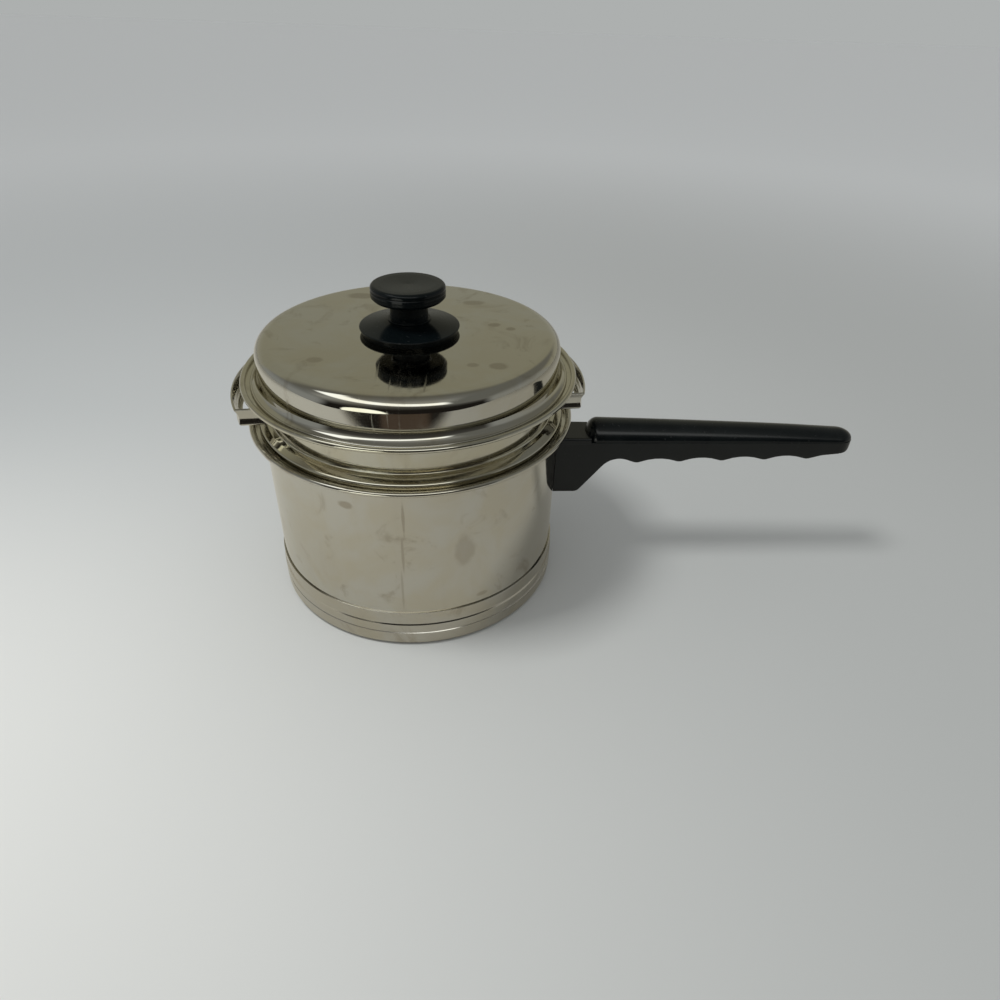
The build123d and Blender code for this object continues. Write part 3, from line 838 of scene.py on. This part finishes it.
def floor():
    """Wide pale sheet with painted light: brighter in front on the left, darker to the right. Far in front,
    mirrored rays pass through it.
    """
    bm = bmesh.new()
    line = (-12000, -600, -300, 0, 300, 600, 12000)
    rows = [[bm.verts.new((x, y, 0)) for y in line] for x in line]
    for row, after in zip(rows, rows[1:]):
        for k in range(len(line) - 1):
            bm.faces.new((row[k], after[k], after[k + 1], row[k + 1]))
    obj = new_object("floor", bm, 60.0)
    made, shade = material("floor_sheet")
    point = shade.add("ShaderNodeTexCoord").outputs["Object"]
    split = shade.add("ShaderNodeSeparateXYZ", {0: point})
    # Painted light: the sheet's colour is brighter in front on the left and darker to the right, a pool of
    # light painted into the floor.
    soft = shade.noise(point, 2.2, 2.0, 0.5)
    across = shade.maths("ADD", split.outputs[0], shade.maths("MULTIPLY", soft, 0.08))
    across = shade.ramp(across, -0.42, 0.36)
    left = shade.blend(shade.ramp(split.outputs[1], -0.22, 0.22), (0.83, 0.835, 0.80, 1),
                       (0.515, 0.535, 0.53, 1))
    base = shade.blend(across, left, (0.480, 0.495, 0.482, 1))
    away = shade.vector("LENGTH", point).outputs[1]
    base = shade.blend(shade.ramp(away, 0.45, 1.7), base, (0.77, 0.79, 0.785, 1))
    path = shade.add("ShaderNodeLightPath")
    mirrored = path.outputs["Is Glossy Ray"]
    # Painted light: in mirrored rays the floor is a warmer colour, painted brighter on the left than on the
    # right.
    plain = shade.blend(across, (0.655, 0.64, 0.57, 1), (0.485, 0.473, 0.418, 1))
    base = shade.blend(mirrored, base, plain)
    front = shade.maths("ADD", split.outputs[1], shade.maths("MULTIPLY", split.outputs[0], 0.12))
    beyond = shade.maths("MULTIPLY", shade.ramp(front, -0.31, -0.27, 1.0, 0.0), mirrored)
    sheet = shade.add("ShaderNodeBsdfPrincipled", {"Base Color": base, "Roughness": 0.9})
    clear = shade.add("ShaderNodeBsdfTransparent")
    mix = shade.add("ShaderNodeMixShader", {0: beyond, 1: sheet.outputs[0], 2: clear.outputs[0]})
    out = shade.add("ShaderNodeOutputMaterial")
    shade.tree.links.new(mix.outputs[0], out.inputs[0])
    dress(obj, made)
    return obj


def world():
    """Soft studio, even for floor and camera. The metal mirrors a dark front, a strip and a window."""
    made = bpy.data.worlds.new("studio")
    bpy.context.scene.world = made
    made.use_nodes = True
    shade = Shade(made.node_tree)
    way = shade.add("ShaderNodeTexCoord").outputs["Generated"]
    split = shade.add("ShaderNodeSeparateXYZ", {0: way})
    x, y, z = split.outputs
    ahead = shade.maths("MULTIPLY", y, -1.0)
    over = shade.maths("DIVIDE", shade.maths("ARCTAN2", z, ahead), pi)
    ramp = shade.add("ShaderNodeValToRGB", {0: over})
    stops = [
        (0.00, (0.016, 0.014, 0.012)), (0.05, (0.045, 0.043, 0.038)), (0.12, (0.10, 0.097, 0.088)),
        (0.17, (0.20, 0.198, 0.18)), (0.30, (0.38, 0.38, 0.35)), (0.36, (0.30, 0.30, 0.28)),
        (0.42, (0.21, 0.21, 0.195)), (0.54, (0.155, 0.152, 0.13)), (0.585, (0.165, 0.16, 0.135)),
        (0.64, (0.25, 0.243, 0.19)), (0.70, (0.31, 0.302, 0.235)), (0.86, (0.31, 0.303, 0.235)),
        (1.00, (0.36, 0.355, 0.30)),
    ]
    band = ramp.color_ramp
    band.elements[0].position, band.elements[1].position = stops[0][0], stops[-1][0]
    band.elements[0].color, band.elements[1].color = stops[0][1] + (1,), stops[-1][1] + (1,)
    for place, colour in stops[1:-1]:
        band.elements.new(place).color = colour + (1,)
    right = shade.maths("MULTIPLY", shade.ramp(x, 0.34, 0.56), shade.ramp(z, 0.20, 0.40))
    studio = shade.blend(right, ramp.outputs[0], (0.17, 0.171, 0.155, 1))
    side = shade.ramp(shade.maths("ABSOLUTE", x), 0.80, 0.90)
    flank = shade.blend(shade.ramp(z, 0.15, 0.55), (0.31, 0.318, 0.305, 1), (0.18, 0.182, 0.17, 1))
    studio = shade.blend(side, studio, flank)
    # From here on in degrees: turn to the right of straight ahead, and rise above level
    turn = shade.maths("MULTIPLY", shade.maths("ARCTAN2", x, ahead), 180 / pi)
    rise = shade.maths("MULTIPLY", shade.maths("ARCSINE", z), 180 / pi)
    off = shade.maths("ADD", rise, shade.maths("MULTIPLY_ADD", turn, 0.17, -39.5))
    strip = shade.maths("MULTIPLY", shade.ramp(off, -11.0, -6.0), shade.ramp(off, 5.0, 12.0, 1.0, 0.0))
    strip = shade.maths("MULTIPLY", strip, shade.ramp(turn, 27.0, 36.0, 1.0, 0.0))
    strip = shade.maths("MULTIPLY", strip, shade.ramp(turn, -96.0, -86.0))
    studio = shade.blend(strip, studio, (1.75, 1.78, 1.72, 1))
    wide = shade.maths("POWER", shade.maths("DIVIDE", shade.maths("ADD", turn, 30.5), 17.5), 2.0)
    high = shade.maths("POWER", shade.maths("DIVIDE", shade.maths("ADD", rise, 30.0), 29.0), 2.0)
    window = shade.ramp(shade.maths("ADD", wide, high), 0.86, 1.10, 1.0, 0.0)
    window = shade.maths("MULTIPLY", window, shade.ramp(rise, -27.2, -26.2))
    studio = shade.blend(window, studio, (1.80, 1.83, 1.62, 1))
    brown = shade.maths("MULTIPLY", shade.ramp(turn, -22.0, -16.0), shade.ramp(turn, 12.0, 20.0, 1.0, 0.0))
    brown = shade.maths("MULTIPLY", brown, shade.ramp(rise, -24.0, -28.0))
    studio = shade.blend(brown, studio, (0.085, 0.062, 0.045, 1))
    path = shade.add("ShaderNodeLightPath")
    mirror = shade.maths("MAXIMUM", path.outputs["Is Glossy Ray"], path.outputs["Is Transmission Ray"])
    seen = shade.blend(mirror, (0.55, 0.555, 0.56, 1), studio)
    seen = shade.blend(path.outputs["Is Camera Ray"], seen, (0.418, 0.433, 0.429, 1))
    light = shade.add("ShaderNodeBackground", {"Color": seen, "Strength": 1.0})
    out = shade.add("ShaderNodeOutputWorld")
    shade.tree.links.new(light.outputs[0], out.inputs[0])


def lamp(name, place, target, size, power):
    """Soft lamp overhead. The metal mirrors the studio instead of the lamp itself."""
    data = bpy.data.lights.new(name, "AREA")
    data.shape = "RECTANGLE"
    data.size, data.size_y = size
    data.energy = power
    obj = bpy.data.objects.new(name, data)
    obj.location = place
    obj.rotation_euler = (Vector(target) - Vector(place)).to_track_quat("-Z", "Y").to_euler()
    obj.visible_glossy = False
    bpy.context.scene.collection.objects.link(obj)
    return obj


def camera():
    """Camera at the photograph's place and angle."""
    pitch, heading, roll = radians(camera_pitch), radians(camera_heading), radians(camera_roll)
    right = Vector((1, 0, 0))
    down = Vector((0, -sin(pitch), -cos(pitch)))
    forward = Vector((0, cos(pitch), -sin(pitch)))
    rolled_right = right * cos(roll) + down * sin(roll)
    rolled_down = down * cos(roll) - right * sin(roll)
    turn = Matrix.Rotation(heading, 3, "Z")
    axes = [turn @ rolled_right, turn @ -rolled_down, turn @ -forward]
    data = bpy.data.cameras.new("camera")
    data.sensor_fit = "HORIZONTAL"
    data.sensor_width = camera_sensor
    data.lens = camera_lens
    data.clip_start = 0.01
    obj = bpy.data.objects.new("camera", data)
    basis = Matrix(axes).transposed().to_4x4()
    obj.matrix_world = Matrix.Translation(Vector(camera_place) * mm) @ basis
    bpy.context.scene.collection.objects.link(obj)
    bpy.context.scene.camera = obj


floor()
world()
lamp("top_lamp", (-0.31, -0.14, 0.92), (0.05, 0, 0.03), (0.22, 0.22), 4.4)
camera()
bpy.context.scene.view_settings.view_transform = "Standard"
